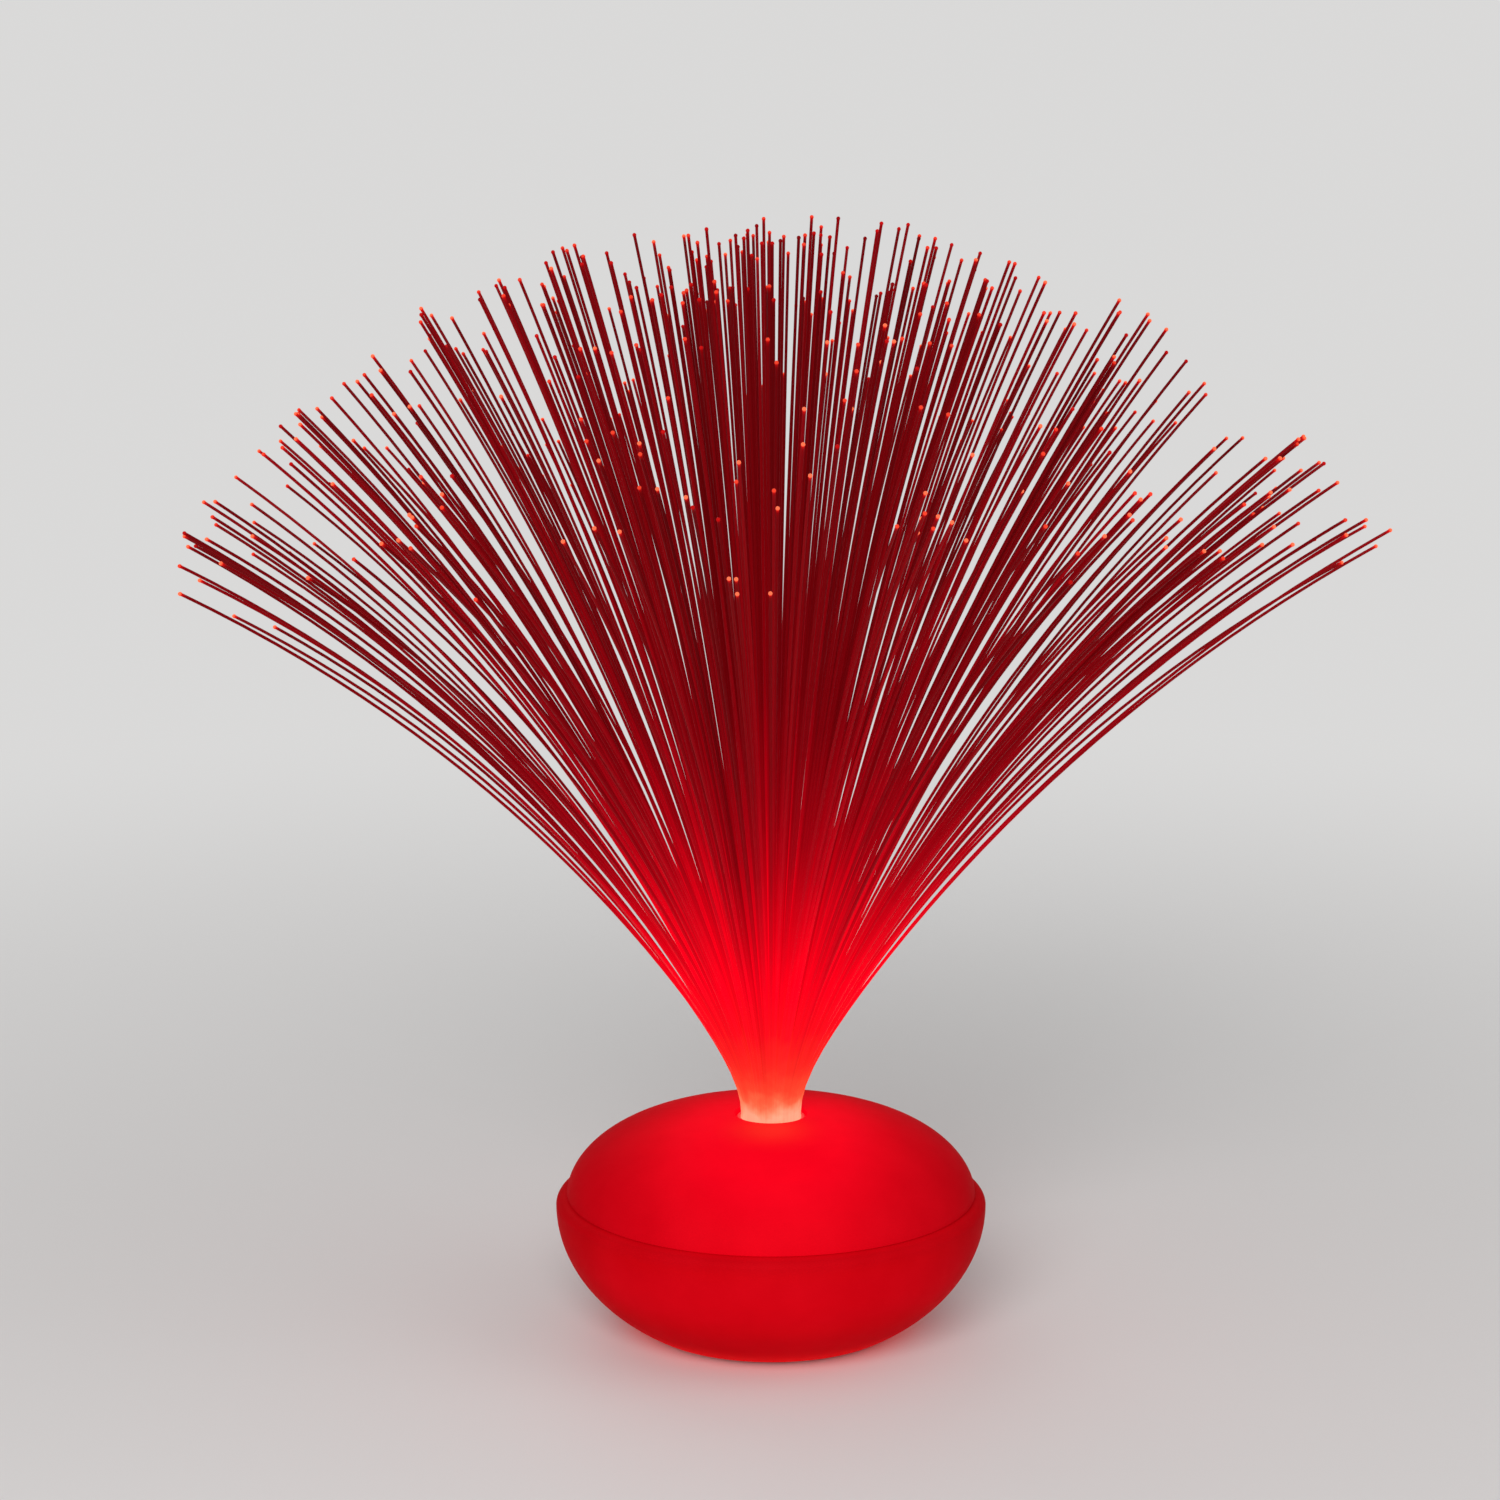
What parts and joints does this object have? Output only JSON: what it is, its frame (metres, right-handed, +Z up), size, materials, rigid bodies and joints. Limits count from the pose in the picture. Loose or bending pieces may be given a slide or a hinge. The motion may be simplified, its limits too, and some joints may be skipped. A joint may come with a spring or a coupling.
{
  "type": "fiber optic lamp",
  "caption": "Battery table lamp: a round frosted base of two shells with a plug-in spray of glowing plastic optical fibers, a slide switch and a battery door.",
  "frame": {"origin": "on the table surface, under the middle of the lamp's box, which is within 1 mm of the base's axis", "axes": "+Z up along the base's axis, -Y the front that the picture shows, +X to the right, where the spray is widest"},
  "size_m": [0.3278, 0.2705, 0.3103],
  "materials": {
    "frosted_shell": "translucent frosted polypropylene-like shell, lit from inside in red",
    "optical_fiber": "clear smooth acrylic fiber, carrying red light to its cut end",
    "sleeve_plastic": "white moulded plastic",
    "base_plastic": "off-white moulded plastic, fine satin texture",
    "black_plastic": "black moulded plastic",
    "cell_jacket": null,
    "nickel": "nickel-plated spring steel",
    "steel": "zinc-plated steel screws",
    "board": "green solder mask",
    "led_package": "white ceramic-like package",
    "led_lens": "clear moulded lens, lit red",
    "red_wire": "red wire insulation",
    "black_wire": "black wire insulation",
    "rubber": "matt black rubber"
  },
  "bodies": {
    "base": {"base_plate": "base_plastic", "base_screw_1": "steel", "base_screw_2": "steel", "base_screw_3": "steel", "base_screw_4": "steel", "board_screw_1": "steel", "board_screw_2": "steel", "bundle_socket": "sleeve_plastic", "cell_1": "cell_jacket", "cell_2": "cell_jacket", "cell_3": "cell_jacket", "contact_bridge_front": "nickel", "contact_bridge_rear": "nickel", "contact_plate_end": "nickel", "contact_plate_start": "nickel", "contact_spring_1": "nickel", "contact_spring_2": "nickel", "contact_spring_3": "nickel", "controller_chip": "black_plastic", "led_board": "board", "led_lens": "led_lens", "led_package": "led_package", "lower_shell": "frosted_shell", "resistor_1": "black_plastic", "resistor_2": "black_plastic", "rubber_foot_1": "rubber", "rubber_foot_2": "rubber", "rubber_foot_3": "rubber", "rubber_foot_4": "rubber", "smoothing_capacitor": "black_plastic", "switch_body": "black_plastic", "switch_terminal_1": "nickel", "switch_terminal_2": "nickel", "upper_shell": "frosted_shell", "wire_battery_negative": "black_wire", "wire_battery_positive": "red_wire", "wire_switched": "red_wire"},
    "spray": {"ferrule": "sleeve_plastic", "fiber_sheaf_1": "optical_fiber", "fiber_sheaf_2": "optical_fiber", "fiber_sheaf_3": "optical_fiber", "fiber_sheaf_4": "optical_fiber", "fiber_sheaf_5": "optical_fiber", "fiber_sheaf_6": "optical_fiber", "fiber_sheaf_7": "optical_fiber"},
    "knob": {"switch_knob": "black_plastic"},
    "door": {"battery_door": "base_plastic"}
  },
  "joints": [
    {"name": "spray_lift", "type": "slide", "parent": "base", "child": "spray", "axis": [0, 0, 1], "range_m": [0, 0.03]},
    {"name": "switch_slide", "type": "slide", "parent": "base", "child": "knob", "axis": [0, 1, 0], "range_m": [0, 0.003]},
    {"name": "door_swing", "type": "hinge", "parent": "base", "child": "door", "pos_m": [0, -0.0252, 0.0019], "axis": [-1, 0, 0], "range_deg": [0, 100]}
  ]
}
